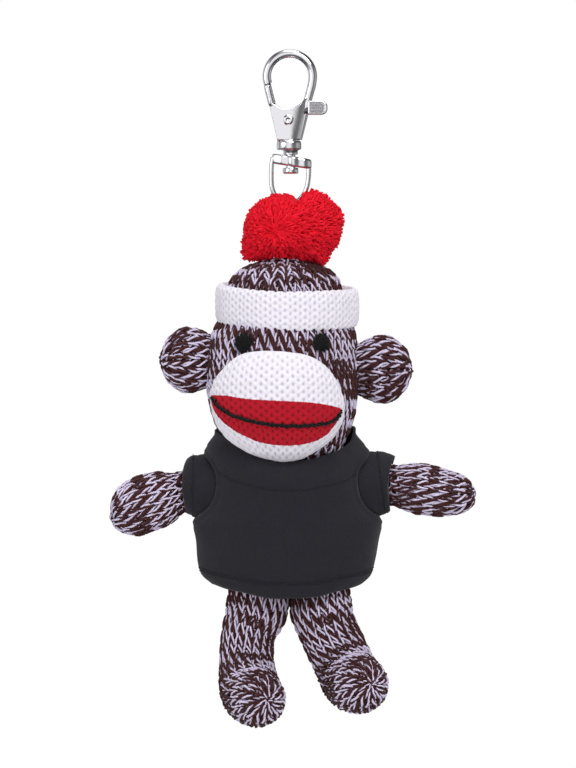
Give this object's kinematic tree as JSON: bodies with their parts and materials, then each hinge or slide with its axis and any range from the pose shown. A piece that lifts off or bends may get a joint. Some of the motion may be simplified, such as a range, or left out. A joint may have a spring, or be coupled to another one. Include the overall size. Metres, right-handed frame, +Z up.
{
  "type": "sock monkey doll",
  "caption": "Knitted sock monkey in a T-shirt, hanging by a cord from a swivel snap hook with a sprung gate; the head, arms and legs move.",
  "frame": {"origin": "the inside top of the hook's bow, where the doll hangs", "axes": "+Z up, the face towards -Y, +X to the right of someone who looks at the face"},
  "size_m": [0.0919, 0.0439, 0.169],
  "materials": {
    "nickel": "polished",
    "marl_knit": "matte",
    "white_knit": "matte",
    "red_yarn": "matte",
    "black_yarn": "matte",
    "jersey": "matte",
    "filling": "matte"
  },
  "bodies": {
    "clasp": {"hook_body": "nickel", "gate_pivot_pin": "nickel", "gate_spring": "nickel", "swivel_stud": "nickel"},
    "gate": {"gate_lever": "nickel"},
    "swivel": {"swivel_loop": "nickel"},
    "head": {"hanger_loop": "red_yarn", "pompom": "red_yarn", "pompom_tie": "red_yarn", "head": "marl_knit", "head_stuffing": "filling", "hat_band": "white_knit", "muzzle": "white_knit", "muzzle_stuffing": "filling", "mouth_stitch": "black_yarn", "left_eye": "black_yarn", "right_eye": "black_yarn", "left_ear": "marl_knit", "left_ear_stuffing": "filling", "right_ear": "marl_knit", "right_ear_stuffing": "filling"},
    "torso": {"torso": "marl_knit", "torso_stuffing": "filling", "shirt_body": "jersey"},
    "left_arm": {"left_sleeve": "jersey", "left_arm": "marl_knit", "left_arm_stuffing": "filling"},
    "right_arm": {"right_sleeve": "jersey", "right_arm": "marl_knit", "right_arm_stuffing": "filling"},
    "left_leg": {"left_leg": "marl_knit", "left_leg_stuffing": "filling"},
    "right_leg": {"right_leg": "marl_knit", "right_leg_stuffing": "filling"}
  },
  "joints": [
    {"name": "gate_hinge", "type": "hinge", "parent": "clasp", "child": "gate", "pos_m": [-0.0002, 0, -0.0156], "axis": [0, 1, 0], "range_deg": [0, 24], "stiffness_Nm_per_rad": 0.004, "springref_deg": -17.19},
    {"name": "swivel_turn", "type": "hinge", "parent": "clasp", "child": "swivel", "pos_m": [0.0004, 0, -0.025], "axis": [0, 0, 1], "continuous": true},
    {"name": "hang_swing", "type": "hinge", "parent": "swivel", "child": "head", "pos_m": [0.0004, 0, -0.03645], "axis": [1, 0, 0], "range_deg": [-28, 28]},
    {"name": "neck_turn", "type": "hinge", "parent": "head", "child": "torso", "pos_m": [-0.001, 0, -0.101], "axis": [0, 0, 1], "range_deg": [-32, 8], "stiffness_Nm_per_rad": 0.01},
    {"name": "left_shoulder", "type": "hinge", "parent": "torso", "child": "left_arm", "pos_m": [-0.019, 0, -0.1074], "axis": [0, 1, 0], "range_deg": [-4, 26], "stiffness_Nm_per_rad": 0.01},
    {"name": "right_shoulder", "type": "hinge", "parent": "torso", "child": "right_arm", "pos_m": [0.018, 0, -0.1074], "axis": [0, 1, 0], "range_deg": [-26, 6], "stiffness_Nm_per_rad": 0.01},
    {"name": "left_hip", "type": "hinge", "parent": "torso", "child": "left_leg", "pos_m": [-0.0076, 0, -0.1336], "axis": [1, 0, 0], "range_deg": [-36, 22], "stiffness_Nm_per_rad": 0.01},
    {"name": "right_hip", "type": "hinge", "parent": "torso", "child": "right_leg", "pos_m": [0.0078, 0, -0.1336], "axis": [1, 0, 0], "range_deg": [-36, 22], "stiffness_Nm_per_rad": 0.01}
  ]
}
